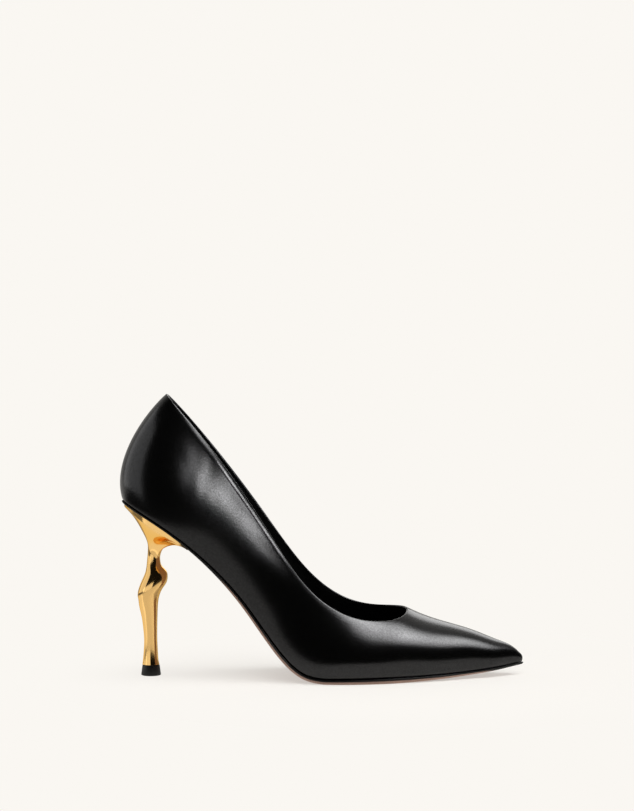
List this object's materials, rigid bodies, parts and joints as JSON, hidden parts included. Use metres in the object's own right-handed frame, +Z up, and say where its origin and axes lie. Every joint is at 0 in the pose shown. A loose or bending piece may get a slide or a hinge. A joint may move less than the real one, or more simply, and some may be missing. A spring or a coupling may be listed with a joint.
{
  "type": "high heel shoe",
  "caption": "Pointed-toe pump with a low-cut leather upper, a thin sole with a high arch and a slender sculpted heel with a gold finish.",
  "frame": {"origin": "on the floor, below the middle of the shoe's bounding box", "axes": "+X from the heel to the toe, +Y to the inner side of the foot, +Z up"},
  "size_m": [0.228, 0.0783, 0.1602],
  "materials": {
    "upper_leather": "smooth black calf, satin gloss",
    "sock_leather": "smooth black lining leather",
    "sole_leather": "tan sole leather with a black painted edge",
    "heel_plating": "polished gold-coloured plating",
    "top_piece_rubber": "matt black"
  },
  "bodies": {
    "root": {"upper": "upper_leather", "insole": "sock_leather", "outsole": "sole_leather", "heel": "heel_plating", "top_piece": "top_piece_rubber"}
  },
  "joints": []
}
